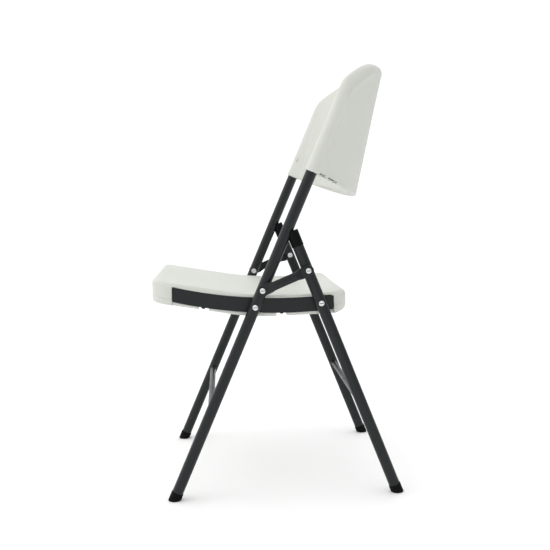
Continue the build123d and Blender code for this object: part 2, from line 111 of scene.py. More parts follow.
def object_material(name, build):
    """A new material whose tree holds a Principled shader made by build(tree, position)."""
    made = bpy.data.materials.new(name)
    made.use_nodes = True
    made.node_tree.nodes.clear()
    place = add_node(made.node_tree, "TexCoord").outputs["Object"]
    shader = build(made.node_tree, place)
    add_node(made.node_tree, "OutputMaterial", {"Surface": shader.outputs["BSDF"]})
    return made


def pattern(tree, place, size_mm, detail=2.0, roughness=0.5, stretch=(1, 1, 1)):
    """Noise whose blotches are size_mm across, from 0 to 1."""
    mapped = add_node(tree, "Mapping", {"Vector": place}, Scale=stretch)
    return add_node(tree, "TexNoise", {"Vector": mapped.outputs["Vector"]}, Scale=per_metre(size_mm),
                    Detail=detail, Roughness=roughness).outputs["Fac"]


def ramp(tree, value, low, high, start=0.0, end=1.0):
    """Maps value from start..end to low..high."""
    return add_node(tree, "MapRange", {"Value": value}, From_Min=start, From_Max=end, To_Min=low,
                    To_Max=high).outputs["Result"]


def tinted(tree, value, first, second):
    """A colour that runs from first to second as value runs from 0 to 1."""
    mix = add_node(tree, "Mix", data_type="RGBA")
    tree.links.new(value, mix.inputs[0])
    mix.inputs[6].default_value = first
    mix.inputs[7].default_value = second
    return mix.outputs[2]


def shaded(colour, factor):
    """A linear colour made lighter or darker."""
    return [min(1.0, c * factor) for c in colour[:3]] + [1.0]


def relief(tree, layers):
    """Chains bumps, coarse to fine. Each layer is (height, depth in mm, strength)."""
    normal = None
    for height, depth_mm, strength in layers:
        links = {"Height": height}
        if normal:
            links["Normal"] = normal
        normal = add_node(tree, "Bump", links, Distance=depth_mm * MM, Strength=strength).outputs["Normal"]
    return normal


# ---------------------------------------------------------------- materials
def polyethylene(colour):
    """Blow-moulded polyethylene: waxy and a little translucent, with a fine matt grain from the
    mould and faint waves where the wall cooled unevenly."""
    def build(tree, place):
        mottle = pattern(tree, place, 60, detail=3)
        grain = pattern(tree, place, 1.6, detail=1)       # real grain is about 0.4 mm, too fine to show
        waves = pattern(tree, place, 45, detail=0)
        scuffs = pattern(tree, place, 9, detail=5, roughness=0.7, stretch=(1, 0.25, 1))
        base = tinted(tree, mottle, shaded(colour, 0.965), shaded(colour, 1.02))
        rough = ramp(tree, scuffs, 0.40, 0.56, 0.3, 0.7)
        bumps = relief(tree, ((waves, 1.2, 0.12), (grain, 0.12, 0.35)))
        return add_node(tree, "BsdfPrincipled",
                        {"Base Color": base, "Roughness": rough, "Normal": bumps},
                        IOR=1.54, Subsurface_Weight=0.12, Subsurface_Radius=(1.0, 0.9, 0.75),
                        Subsurface_Scale=0.004)
    return object_material("polyethylene_blow_moulded_satin", build)


def powder_coat(colour):
    """Polyester powder coat on steel tube: charcoal satin with an orange-peel skin."""
    def build(tree, place):
        blotch = pattern(tree, place, 35, detail=3)
        speckle = pattern(tree, place, 0.9, detail=2)
        peel = pattern(tree, place, 2.6, detail=1)        # peel is about 1 mm, drawn coarser to show
        base = tinted(tree, ramp(tree, blotch, 0, 1, 0.3, 0.7), shaded(colour, 0.9), shaded(colour, 1.12))
        rough = ramp(tree, blotch, 0.30, 0.42, 0.3, 0.7)
        bumps = relief(tree, ((peel, 0.14, 0.3), (speckle, 0.04, 0.25)))
        return add_node(tree, "BsdfPrincipled",
                        {"Base Color": base, "Roughness": rough, "Normal": bumps}, IOR=1.52,
                        Specular_IOR_Level=0.32)
    return object_material("powder_coat_on_steel_satin", build)


def zinc_plate():
    """Bright zinc plate on cold-headed steel: soft mirror with spangle and fine handling marks."""
    def build(tree, place):
        spangle = pattern(tree, place, 1.4, detail=2)
        marks = pattern(tree, place, 0.7, detail=4, roughness=0.8, stretch=(1, 3, 1))
        base = tinted(tree, spangle, linear("#D2D4D5"), linear("#F2F3F3"))
        rough = ramp(tree, marks, 0.20, 0.38, 0.3, 0.7)
        bumps = relief(tree, ((marks, 0.03, 0.3),))
        return add_node(tree, "BsdfPrincipled",
                        {"Base Color": base, "Roughness": rough, "Normal": bumps}, Metallic=1.0)
    return object_material("zinc_plated_steel", build)


def rubber(colour):
    """Moulded black rubber: matt, dusty where it meets the floor."""
    def build(tree, place):
        height = add_node(tree, "SeparateXYZ", {"Vector": place}).outputs["Z"]
        dust = pattern(tree, place, 5, detail=5, roughness=0.7)
        near_floor = ramp(tree, height, 0.55, 0.0, 0.0, 0.008)
        worn = add_node(tree, "Math", {0: near_floor, 1: dust}, operation="MULTIPLY").outputs[0]
        grain = pattern(tree, place, 0.8, detail=3)
        base = tinted(tree, worn, colour[:3] + [1.0], linear("#1C1B1A"))
        rough = ramp(tree, dust, 0.62, 0.82, 0.3, 0.7)
        return add_node(tree, "BsdfPrincipled",
                        {"Base Color": base, "Roughness": rough,
                         "Normal": relief(tree, ((grain, 0.1, 0.4),))}, IOR=1.5,
                        Specular_IOR_Level=0.12)
    return object_material("rubber_moulded_matt", build)


def polypropylene(colour, name="polypropylene_moulded_satin"):
    """Injection-moulded polypropylene: black, satin, with a spark-eroded grain."""
    def build(tree, place):
        grain = pattern(tree, place, 1.0, detail=2)
        blotch = pattern(tree, place, 12, detail=3)
        base = tinted(tree, blotch, shaded(colour, 0.85), shaded(colour, 1.3))
        rough = ramp(tree, blotch, 0.42, 0.55, 0.3, 0.7)
        return add_node(tree, "BsdfPrincipled",
                        {"Base Color": base, "Roughness": rough,
                         "Normal": relief(tree, ((grain, 0.08, 0.35),))}, IOR=1.49,
                        Specular_IOR_Level=0.09)
    return object_material(name, build)


# ---------------------------------------------------------------- mesh helpers
def make_piece(name, vertices, faces, material, body, replaced=(), sharp_deg=35.0):
    """A mesh piece from points in millimetres, smooth-shaded but for its sharp edges."""
    mesh = bpy.data.meshes.new(name)
    mesh.from_pydata([Vector(v) * MM for v in vertices], [], faces)
    shape = bmesh.new()
    shape.from_mesh(mesh)
    bmesh.ops.remove_doubles(shape, verts=shape.verts, dist=0.01 * MM)
    bmesh.ops.dissolve_degenerate(shape, edges=shape.edges, dist=0.001 * MM)
    bmesh.ops.recalc_face_normals(shape, faces=shape.faces)
    for face in shape.faces:
        face.smooth = True
    for edge in shape.edges:
        edge.smooth = len(edge.link_faces) == 2 and edge.calc_face_angle() < math.radians(sharp_deg)
    shape.to_mesh(mesh)
    shape.free()
    mesh.materials.append(material)
    piece = bpy.data.objects.new(name, mesh)
    bpy.context.scene.collection.objects.link(piece)
    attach(piece, body)
    if replaced:
        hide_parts(*replaced)
    return piece


def loop_faces(rings, count):
    """Quads between closed rings of count points each."""
    faces = []
    for r in range(rings - 1):
        for i in range(count):
            j = (i + 1) % count
            faces.append((r * count + i, r * count + j, (r + 1) * count + j, (r + 1) * count + i))
    return faces


def round_off(distance, radius):
    """How far a rounded edge falls away at a distance in from the edge."""
    if distance >= radius:
        return 0.0
    return radius - math.sqrt(max(0.0, radius ** 2 - (radius - distance) ** 2))


def arc_through(first, middle, last):
    """Height along a shallow upward-opening arc through three (y, z) points."""
    (y1, z1), (y2, z2), (y3, z3) = first, middle, last
    turn = 2 * (y1 * (z2 - z3) + y2 * (z3 - z1) + y3 * (z1 - z2))
    s1, s2, s3 = y1 ** 2 + z1 ** 2, y2 ** 2 + z2 ** 2, y3 ** 2 + z3 ** 2
    cy = (s1 * (z2 - z3) + s2 * (z3 - z1) + s3 * (z1 - z2)) / turn
    cz = (s1 * (y3 - y2) + s2 * (y1 - y3) + s3 * (y2 - y1)) / turn
    radius = math.hypot(y1 - cy, z1 - cz)
    return lambda y: cz - math.sqrt(max(0.0, radius ** 2 - (y - cy) ** 2))


def smooth_step(value, start, end):
    """0 before start, 1 after end, and a smooth rise between them."""
    t = min(1.0, max(0.0, (value - start) / (end - start)))
    return t * t * (3 - 2 * t)


# ---------------------------------------------------------------- seat shell
SEAT_DEPTH = SEAT_HIGH.y - SEAT_LOW.y
SEAT_PLAN_R = 34.0
SEAT_TOP_POINTS = 20          # points of a half section that lie on the top face
SEAT_RECESS_X = 193.0         # the shell's sides behind the rails
SEAT_TOP_HOLLOW = arc_through((145.0, 410.5), (271.3, 399.5), (385.0, 408.4))
SEAT_BELLY_HOLLOW = arc_through((149.0, 364.8), (200.0, 358.6), (250.0, 357.9))
RAIL_EDGE = arc_through((40.5, 391.5), (198.6, 366.9), (356.7, 369.6))
RAIL_HEIGHT = 29.0
BAY = (40.0, 357.3)           # the rails' bays, measured back from the seat's front edge
GROOVES = ((101.0, 385.2), (254.0, 371.8))    # the cross rods' grooves: distance back, roof height


def seat_top(u):
    """Height of the seat's rims, u behind its front edge."""
    lip = 1.2 * (1 - smooth_step(u, 16, 30))
    return 436.0 - 0.1759 * u + lip if u < 145 else SEAT_TOP_HOLLOW(u)


def seat_belly(u):
    """Height of the seat's underside with its two grooves, u behind its front edge."""
    if u < 149:
        plain = 391.2 - 0.177 * u
    elif u < 250:
        plain = SEAT_BELLY_HOLLOW(u)
    else:
        plain = 357.9 + 0.0267 * (u - 250)
    for centre, roof in GROOVES:
        groove = roof - 4.2 * max(0.0, abs(u - centre) - 7.5)
        blend = max(1.6 - abs(plain - groove), 0.0) / 1.6
        plain = max(plain, groove) + blend * blend * 0.4
    return plain


def seat_inset(x, u):
    """Distance in from the seat's outline as seen from above."""
    across = SEAT_HIGH.x - abs(x)
    along = min(u, SEAT_DEPTH - u)
    if across < SEAT_PLAN_R and along < SEAT_PLAN_R:
        return SEAT_PLAN_R - math.hypot(SEAT_PLAN_R - across, SEAT_PLAN_R - along)
    return min(across, along)


def seat_stations():
    """Distances back from the seat's front edge at which its sections are drawn."""
    ends = [SEAT_PLAN_R * (1 - math.cos(math.radians(a))) for a in range(0, 90, 6)]
    stations = ends + [SEAT_DEPTH - e for e in ends]
    stations += list(np.arange(SEAT_PLAN_R, SEAT_DEPTH - SEAT_PLAN_R, 5.0))
    for end in BAY:
        stations += [end + step for step in (-0.9, -0.5, 0.0, 0.5, 0.9)]
    for centre, roof in GROOVES:
        for reach in (6.6, 7.1, 7.5, 8.0, 8.8, 9.6, 10.2, 10.6, 11.2):
            stations += [centre - reach, centre + reach]
    kept = []
    for u in sorted(stations):
        if not kept or u - kept[-1] > 0.15:
            kept.append(float(u))
    kept[-1] = SEAT_DEPTH
    return kept


def seat_section(u, dish, edge_r):
    """Half of the seat's cross-section, from the middle of its top round to the middle of its belly."""
    if min(u, SEAT_DEPTH - u) < SEAT_PLAN_R:
        back = SEAT_PLAN_R - min(u, SEAT_DEPTH - u)
        width = SEAT_HIGH.x - SEAT_PLAN_R + math.sqrt(SEAT_PLAN_R ** 2 - back ** 2)
    else:
        width = SEAT_HIGH.x
    in_bay = smooth_step(u, BAY[0] - 0.5, BAY[0] + 0.5) * (1 - smooth_step(u, BAY[1] - 0.5, BAY[1] + 0.5))
    bay_roof = RAIL_EDGE(u) + RAIL_HEIGHT + 0.6
    top, belly = seat_top(u), seat_belly(u)
    rim_r = min(edge_r, 0.72 * (top - bay_roof))
    top_r = 9.0 + (12.0 - 9.0) * smooth_step(u, 200, 360)
    top_r = rim_r + (top_r - rim_r) * (1 - smooth_step(u, 30, 52) * (1 - smooth_step(u, 345, 368)))
    belly_r = 5.0 + 12.0 * smooth_step(u, 352, 372)
    hollow = dish * smooth_step(u, 12, 90) * (1 - 0.75 * smooth_step(u, 290, 380))
    belly_x = width + (SEAT_RECESS_X - width) * in_bay
    edge = [1 - math.cos(math.radians(a)) for a in (0, 12, 24, 36, 48, 60, 74, 90)]
    inner = (0.02, 0.05, 0.09, 0.14, 0.21, 0.3, 0.4, 0.5, 0.62, 0.75, 0.88, 1.0)
    half = []
    for x in [width - top_r * e for e in edge] + [(width - top_r) * (1 - f) for f in inner]:
        fall = round_off(seat_inset(x, u), top_r)
        bowl = hollow * (1 - (x / SEAT_HIGH.x) ** 2) ** 2
        half.append((x, top - fall - bowl))
    half.reverse()
    wall_top, wall_low = top - top_r, belly + belly_r
    seam = wall_low + (wall_top - wall_low) * 0.25
    plain = [(width, wall_top - 1), (width, seam + 3), (width, seam + 0.9), (width - 0.9, seam),
             (width, seam - 0.9), (width, seam - 1.6), (width, wall_low + 0.6), (width, wall_low + 0.3)]
    lip = min(2.6, 0.8 * (wall_top - bay_roof))
    recess = [(width, bay_roof + lip), (width - 1.0, bay_roof + 0.45 * lip), (width - 2.0, bay_roof),
              (SEAT_RECESS_X + 0.8, bay_roof), (SEAT_RECESS_X + 0.2, bay_roof - 0.3),
              (SEAT_RECESS_X, bay_roof - 1.0), (SEAT_RECESS_X, wall_low + 1.5),
              (SEAT_RECESS_X, wall_low + 0.6)]
    for (x0, z0), (x1, z1) in zip(plain, recess):
        half.append((x0 + (x1 - x0) * in_bay, z0 + (z1 - z0) * in_bay))
    for x in [belly_x - belly_r * e for e in edge] + [(belly_x - belly_r) * (1 - f) for f in inner]:
        inset = seat_inset(x, u) + ((SEAT_RECESS_X - x) - seat_inset(x, u)) * in_bay
        half.append((x, belly + round_off(inset, belly_r)))
    return half


def close_end(faces, start, half_count, top_count):
    """Closes one end of a run of mirrored sections with upright strips."""
    count = 2 * half_count - 2
    for i in range(top_count - 2):
        low = half_count - 1 - i
        faces.append((start + i, start + i + 1, start + low - 1, start + low))
        mirror = [(count - k) % count for k in (i, i + 1, low - 1, low)]
        faces.append(tuple(start + k for k in mirror))
    rest = list(range(top_count - 2, half_count - top_count + 2))
    faces.append(tuple(start + k for k in rest))
    faces.append(tuple(start + (count - k) % count for k in rest))


def build_seat(settings, material):
    """The seat shell: sections swept from front to back."""
    stations = seat_stations()
    points = []
    for u in stations:
        half = seat_section(u, settings.dish, settings.edge_radius)
        ring = half + [(-x, z) for x, z in reversed(half[1:-1])]
        points += [(x, SEAT_LOW.y + u, z) for x, z in ring]
    faces = loop_faces(len(stations), len(ring))
    close_end(faces, 0, len(half), SEAT_TOP_POINTS)
    close_end(faces, (len(stations) - 1) * len(ring), len(half), SEAT_TOP_POINTS)
    return make_piece("seat_shell_moulded", points, faces, material, "seat",
                      ("seat_shell",), 40)


# ---------------------------------------------------------------- back shell
LEG_TO_PIVOT = 414.61         # from the floor to the seat pivot along a front leg
BACK_START, BACK_TOP = 697.0 - LEG_TO_PIVOT, 964.4 - LEG_TO_PIVOT
BACK_HALF = 13.0              # half the shell's thickness
BACK_END_X, BACK_END_BEHIND = 213.0, -0.5
SLEEVE_MOUTH_R = 11.75        # the holes that the legs enter
BACK_BOW = (113.8, 60.3)      # how far it bows back at its bottom and top edges
SHOULDER_R = 112.0            # the back's top corners, seen from the front
SHOULDER_X = BACK_END_X + BACK_HALF - SHOULDER_R
SHOULDER = 836.0 - LEG_TO_PIVOT
CROWN_R = (SHOULDER_X ** 2 + (BACK_TOP - SHOULDER) ** 2 - SHOULDER_R ** 2) / (
    2 * (BACK_TOP - SHOULDER - SHOULDER_R))
CROWN_CENTRE = BACK_TOP - CROWN_R
CROWN_END = SHOULDER_X * CROWN_R / (CROWN_R - SHOULDER_R)


def arch_height(x):
    """The back's top edge, seen from the front, as a distance along the legs."""
    x = abs(x)
    if x < CROWN_END:
        return CROWN_CENTRE + math.sqrt(CROWN_R ** 2 - x ** 2)
    return SHOULDER + math.sqrt(max(0.0, SHOULDER_R ** 2 - (x - SHOULDER_X) ** 2))


def bow(along):
    """Radius, centre and half-angle of the back's bow at a distance along the legs."""
    t = (along - BACK_START) / (BACK_TOP - BACK_START)
    depth = BACK_BOW[0] + (BACK_BOW[1] - BACK_BOW[0]) * t - BACK_END_BEHIND
    radius = (BACK_END_X ** 2 + depth ** 2) / (2 * depth)
    return radius, BACK_END_BEHIND + depth - radius, math.asin(BACK_END_X / radius)


def back_point(along, column, inset):
    """(x, behind) of a point on the back's skin, inset from full thickness."""
    radius, centre, half_angle = bow(along)
    kind, value = column
    reach = BACK_HALF - inset
    if kind == "nose":
        side = 1 if value >= 0 else -1
        turn = math.radians(abs(value))
        direction = half_angle + turn
        x = radius * math.sin(half_angle) + reach * math.sin(direction)
        return side * x, centre + radius * math.cos(half_angle) + reach * math.cos(direction)
    angle = value * half_angle
    distance = radius + reach if kind == "outer" else radius - reach
    return distance * math.sin(angle), centre + distance * math.cos(angle)


def panel_inset(column, along, x, valley):
    """How far the skin sinks inside the raised border: a shallow valley, then a thinner panel."""
    kind, value = column
    if kind == "nose":
        return 0.0
    band = 24.0 - 15.0 * smooth_step(along, BACK_START, SHOULDER)
    from_end = (1 - abs(value)) * 250.0 - band
    from_top = (arch_height(x) - along) * 0.8 - 17.0
    inside = -math.log(math.exp(-from_end / 6) + math.exp(-from_top / 6)) * 6
    near_end = 1 - 0.8 * smooth_step(from_end, 30, 130)
    if kind == "inner":
        near_end *= 0.2
    return valley * near_end * (0.6 * math.exp(-(inside / 4.5) ** 2) + smooth_step(inside, -7, 9))


def back_columns():
    """Columns round the back's skin: outer face, one nose, inner face, other nose."""
    spots = [0, 2, 4, 6, 8, 10, 12, 14, 16, 18, 20, 22, 24, 26, 28, 31, 35, 40, 46, 54, 64, 78, 95,
             115, 138, 160, 182, 204, 227, 250]
    values = sorted({1 - s / 250 for s in spots} | {s / 250 - 1 for s in spots})
    turns = range(12, 180, 12)
    columns = [("outer", v) for v in values]
    columns += [("nose", t) for t in turns]
    columns += [("inner", v) for v in reversed(values)]
    columns += [("nose", -t) for t in reversed(turns)]
    return columns, len(values), len(turns)


def build_back(settings, material):
    """The back shell: columns that rise from its lower edge to its arched top edge."""
    columns, face_count, nose_count = back_columns()
    rim = settings.rim_radius
    low = [(1 - math.cos(math.radians(a)), 1 - math.sin(math.radians(a))) for a in (0, 18, 36, 54, 72, 90)]
    low_r = [2.5 + 4.5 * smooth_step(250 * (1 - abs(v)), 60, 150) if kind != "nose" else 2.5
             for kind, v in columns]
    high = [(rim * (1 - math.cos(math.radians(a))), rim * (1 - math.sin(math.radians(a))))
            for a in (90, 78, 66, 54, 42, 30, 20, 10, 0)]
    middle = 26
    rows = []
    for d, inset in low:
        rows.append([(BACK_START + d * r, inset * r) for r in low_r])
    crowns = []
    for column in columns:
        crown = []
        for d, inset in high:
            along = BACK_TOP - 60
            for _ in range(10):
                x = abs(back_point(along, column, inset)[0])
                slope = (arch_height(x - 1) - arch_height(min(x + 1, 226))) / 2
                along = 0.5 * along + 0.5 * (arch_height(x) - d * min(3.0, math.hypot(1, slope)))
            crown.append((along, inset))
        crowns.append(crown)
    for m in range(1, middle):
        t = m / middle
        rows.append([(BACK_START + r + (crown[0][0] - BACK_START - r) * t, 0.0)
                     for r, crown in zip(low_r, crowns)])
    for k in range(len(high)):
        rows.append([crown[k] for crown in crowns])
    points = []
    for row in rows:
        for column, (along, inset) in zip(columns, row):
            fade = smooth_step(along, BACK_START, BACK_START + 10) * (1 - inset / (rim + 0.01))
            x = back_point(along, column, inset)[0]
            flare = 0.7 * (1 - smooth_step(along, BACK_START, BACK_START + 24)) if inset < 2.5 else 0.0
            flare *= 1.0 if column[0] == "nose" else max(0.0, 1 - (1 - abs(column[1])) * 12)
            sunk = inset + panel_inset(column, along, x, settings.valley) * fade - flare
            x, behind = back_point(along, column, sunk)
            points.append((x, *front_leg_point(along, behind)))
    count = len(columns)
    faces = loop_faces(len(rows), count)
    for start in (0, (len(rows) - 1) * count):
        for i in range(face_count - 1):
            other = face_count + nose_count + (face_count - 1 - i)
            faces.append((start + i, start + i + 1, start + other - 1, start + other))
        first = face_count - 1
        faces.append(tuple(start + k for k in range(first, first + nose_count + 2)))
        last = 2 * face_count + nose_count - 1
        faces.append(tuple(start + k % count for k in range(last, last + nose_count + 2)))
    piece = make_piece("backrest_shell_moulded", points, faces, material, "front_frame",
                       ("backrest_shell",), 40)
    cut_away(piece, back_cutters())
    return piece


def prism(outline, axis_low, axis_high):
    """Vertices and faces of a straight prism between two copies of an outline."""
    count = len(outline)
    points = [axis_low(*p) for p in outline] + [axis_high(*p) for p in outline]
    faces = [tuple(range(count)), tuple(range(2 * count - 1, count - 1, -1))]
    faces += [(i, (i + 1) % count, count + (i + 1) % count, count + i) for i in range(count)]
    return points, faces


def back_cutters():
    """The sleeves' mouths and the vents in the lower rim with the hollows behind them, in mm."""
    def at(along):
        return lambda x, behind: (x, *front_leg_point(along, behind))
    shapes = []
    ring = [(SLEEVE_MOUTH_R * math.cos(math.radians(a)), SLEEVE_MOUTH_R * math.sin(math.radians(a)))
            for a in range(0, 360, 6)]
    for sign in SIDES.values():
        mouth = [(sign * LEG_X + x, behind) for x, behind in ring]
        shapes.append(prism(mouth, at(BACK_START - 12), at(BACK_START + 6)))
    radius, centre, _ = bow(BACK_START)
    for angle, length in ((-52.2, 19), (-45.1, 32), (45.1, 32), (52.2, 19)):
        turn = math.radians(angle)
        vent = (length / 2, 3, 18, -6, 4.2)
        hollow = (length / 2 - 4, -6, 6.5, 3.0, 20)
        for half, inner, outer, low, high in (vent, hollow):
            outline = []
            for tangent, radial in ((-half, inner), (half, inner), (half, outer), (-half, outer)):
                reach = radius + radial
                x = reach * math.sin(turn) + tangent * math.cos(turn)
                outline.append((x, centre + reach * math.cos(turn) - tangent * math.sin(turn)))
            shapes.append(prism(outline, at(BACK_START + low), at(BACK_START + high)))
    return shapes


def cut_away(piece, shapes):
    """Cuts closed shapes out of a piece's mesh."""
    cutters = []
    for points, faces in shapes:
        mesh = bpy.data.meshes.new("cutter")
        mesh.from_pydata([Vector(p) * MM for p in points], [], faces)
        trimmed = bmesh.new()
        trimmed.from_mesh(mesh)
        bmesh.ops.recalc_face_normals(trimmed, faces=trimmed.faces)
        trimmed.to_mesh(mesh)
        trimmed.free()
        cutter = bpy.data.objects.new("cutter", mesh)
        bpy.context.scene.collection.objects.link(cutter)
        cutters.append(cutter)
        cut = piece.modifiers.new("cut", "BOOLEAN")
        cut.operation = "DIFFERENCE"
        cut.solver = "EXACT"
        cut.object = cutter
    bpy.context.view_layer.update()
    graph = bpy.context.evaluated_depsgraph_get()
    result = bpy.data.meshes.new_from_object(piece.evaluated_get(graph))
    if len(result.vertices) < 1000:
        raise RuntimeError(f"cutting {piece.name} left too little of it")
    piece.modifiers.clear()
    piece.data = result
    for cutter in cutters:
        bpy.data.objects.remove(cutter)
    tidy = bmesh.new()
    tidy.from_mesh(result)
    for face in tidy.faces:
        face.smooth = True
    for edge in tidy.edges:
        edge.smooth = len(edge.link_faces) == 2 and edge.calc_face_angle() < math.radians(40)
    tidy.to_mesh(result)
    tidy.free()


# ---------------------------------------------------------------- folding links
def build_link(side, settings, material):
    """A tube with both ends pressed flat, from the front leg's rivet to the rear leg's."""
    sign = SIDES[side]
    low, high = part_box(f"link_rear_rivet_{side}")
    rear = ((low.y + high.y) / 2 / MM, (low.z + high.z) / 2 / MM)
    run_y, run_z = rear[0] - LINK_FRONT[0], rear[1] - LINK_FRONT[1]
    length = math.hypot(run_y, run_z)
    run_y, run_z = run_y / length, run_z / length
    end_r = 10.8
    spots = [-end_r * math.cos(math.radians(a)) for a in range(8, 91, 8)]
    spots += list(np.linspace(2, length - 2, 48))
    spots += [length + end_r * math.cos(math.radians(a)) for a in range(88, 7, -8)]
    points = []
    for a in spots:
        beyond = max(0.0, -a, a - length)
        from_end = min(a, length - a)
        body = smooth_step(from_end, 13, 13 + settings.swell_length)
        width = 2 * math.sqrt(max(0.0, end_r ** 2 - beyond ** 2)) * (1 - body) + 17.4 * body
        height = 3.0 + 5.5 * body
        power = 2 / (7.0 * (1 - body) + 2.4 * body)
        for step in range(40):
            turn = 2 * math.pi * step / 40
            c, s = math.cos(turn), math.sin(turn)
            across = width / 2 * math.copysign(abs(c) ** power, c)
            out = LINK_LOW.x + height / 2 * (1 + math.copysign(abs(s) ** power, s))
            points.append((sign * out, LINK_FRONT[0] + a * run_y - across * run_z,
                           LINK_FRONT[1] + a * run_z + across * run_y))
    faces = loop_faces(len(spots), 40)
    faces.append(tuple(range(40)))
    faces.append(tuple((len(spots) - 1) * 40 + k for k in range(40)))
    return make_piece(f"folding_link_{side}_pressed", points, faces, material, f"link_{side}",
                      (f"folding_link_{side}",), 50)


# ---------------------------------------------------------------- welds
CROSSBAR_R = 6.5


def weld_bead(name, bar_node, leg_node, sign, bar_r, body, material):
    """A ripple-backed bead where a crossbar meets a leg."""
    low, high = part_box(bar_node)
    centre_y, centre_z = (low.y + high.y) / 2 / MM, (low.z + high.z) / 2 / MM
    leg_low, leg_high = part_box(leg_node)
    lean = math.atan2(leg_high.y - leg_low.y, leg_high.z - leg_low.z)
    lean = lean if body == "front_frame" else -lean
    points = []
    steps, around = 96, 8
    for i in range(steps):
        turn = 2 * math.pi * i / steps
        bead_r = 1.35 + 0.22 * math.sin(i * math.pi / 2)
        for k in range(around):
            tilt = 2 * math.pi * k / around
            reach = bar_r + 0.5 + bead_r * math.cos(tilt)
            dy, dz = reach * math.cos(turn), reach * math.sin(turn)
            off_axis = dy * math.cos(lean) - dz * math.sin(lean)
            skin = LEG_X - math.sqrt(max(0.0, LEG_R ** 2 - off_axis ** 2))
            points.append((sign * (skin - 0.3 - bead_r * math.sin(tilt)), centre_y + dy, centre_z + dz))
    faces = loop_faces(steps, around)
    faces += [((steps - 1) * around + k, (steps - 1) * around + (k + 1) % around, (k + 1) % around, k)
              for k in range(around)]
    return make_piece(name, points, faces, material, body, (), 80)


# ---------------------------------------------------------------- settings
class ShellSettings(bpy.types.PropertyGroup):
    """The moulded seat and back."""
    colour: StringProperty(name="Colour", description="Off-white of the plastic, sRGB hex",
                           default="#CCCEC7")
    dish: FloatProperty(name="Seat dish", description="How far the seat's middle is dished, in mm",
                        default=4.0, min=0.0, max=8.0)
    edge_radius: FloatProperty(name="Rim radius", description="Rounding of the rims over the rails, in mm",
                               default=6.0, min=2.0, max=8.0)
    rim_radius: FloatProperty(name="Back rim radius", description="Rounding of the back's top rim, in mm",
                              default=12.4, min=4.0, max=12.8)
    valley: FloatProperty(name="Sleeve valley", description="Depth of the valley beside each sleeve, in mm",
                          default=2.8, min=0.0, max=4.0)


class FrameSettings(bpy.types.PropertyGroup):
    """Tubes, rails, links and small hardware."""
    enamel: StringProperty(name="Enamel", description="Powder coat colour, sRGB hex", default="#111618")
    rubber: StringProperty(name="Rubber", description="Colour of the feet, sRGB hex", default="#060707")
    plastic: StringProperty(name="Caps", description="Colour of the leg caps and spacers, sRGB hex",
                            default="#08090A")
    swell_length: FloatProperty(name="Link swell", description="Length over which a link's flat end opens "
                                "out into a tube, in mm", default=13.0, min=5.0, max=25.0)


class StageSettings(bpy.types.PropertyGroup):
    """Floor, lights and camera."""
    sky: FloatProperty(name="Sky", description="Mean strength of the white surroundings",
                       default=0.76, min=0.0)
    sky_slope: FloatProperty(name="Sky slope", description="How much brighter the surroundings are above and "
                             "in front than below and behind", default=0.76, min=0.0, max=1.0)
    key_watts: FloatProperty(name="Key light", description="Power of the large front light", default=5.0,
                             min=0.0, unit="POWER")
    camera_place: FloatVectorProperty(name="Camera", description="Where the camera stands", unit="LENGTH",
                                      subtype="TRANSLATION", default=(1.793, -0.1041, 0.594))
    lens: FloatProperty(name="Lens", description="Focal length in mm on a 36 mm sensor", default=53.77)


# ---------------------------------------------------------------- operators
def cad(*starts):
    """The frame's own pieces whose names begin in one of the given ways."""
    found = [o for o in bpy.data.objects if o.type == "MESH" and o.name.startswith(starts)]
    if not found:
        raise RuntimeError(f"no pieces of the frame begin with {starts}")
    return found


def paint(material, *starts):
    """Gives the frame's own pieces a material."""
    for piece in cad(*starts):
        piece.data.materials.clear()
        piece.data.materials.append(material)


SLOT_DEPTH = 0.8              # of the slots across the rivet heads


def paint_slot_shade(material, *starts):
    """Paints shade into the rivet heads' slots: their floors get a second, darker material as painted shade.
    """
    for piece in cad(*starts):
        piece.data.materials.append(material)
        crown = max(abs(v.co.x) for v in piece.data.vertices)
        for face in piece.data.polygons:
            if abs(abs(face.center.x) - (crown - SLOT_DEPTH * MM)) < 0.1 * MM and abs(face.normal.x) > 0.9:
                face.material_index = 1


class CHAIR_OT_shells(bpy.types.Operator):
    """Mould the seat and the back"""
    bl_idname = "folding_chair.shells"
    bl_label = "Seat and Back"

    def execute(self, context):
        settings = context.scene.chair_shells
        material = polyethylene(linear(settings.colour))
        build_seat(settings, material)
        build_back(settings, material)
        paint(material, "back_rivets")
        return {"FINISHED"}


class CHAIR_OT_frame(bpy.types.Operator):
    """Enamel the tubes, rails and rods, and weld the crossbars"""
    bl_idname = "folding_chair.frame"
    bl_label = "Tube Frame"

    def execute(self, context):
        material = powder_coat(linear(context.scene.chair_frame.enamel))
        paint(material, "front_leg", "rear_leg_left", "rear_leg_right", "front_crossbar", "rear_crossbar",
              "seat_rail", "seat_cross_rod")
        for side, sign in SIDES.items():
            for place in ("front", "rear"):
                weld_bead(f"{place}_crossbar_weld_{side}", f"{place}_crossbar", f"{place}_leg_{side}", sign,
                          CROSSBAR_R, f"{place}_frame", material)
            build_link(side, context.scene.chair_frame, material)
        return {"FINISHED"}


class CHAIR_OT_hardware(bpy.types.Operator):
    """Finish the rivets, screws and spacers"""
    bl_idname = "folding_chair.hardware"
    bl_label = "Rivets and Spacers"

    def execute(self, context):
        plastic = polypropylene(linear(context.scene.chair_frame.plastic), "nylon_moulded_satin")
        paint(zinc_plate(), "front_seat_rivet", "rear_seat_rivet", "front_link_rivet", "rear_link_rivet",
              "link_rear_rivet", "seat_rod_screws")
        # painted shade: the slot floors take the black cap plastic, though the real slots are plated zinc in
        # shadow
        paint_slot_shade(plastic, "front_seat_rivet", "rear_seat_rivet", "front_link_rivet", "link_rear_rivet")
        paint(plastic, "front_seat_spacer", "rear_seat_spacer", "front_link_spacer", "rear_link_spacer")
        return {"FINISHED"}


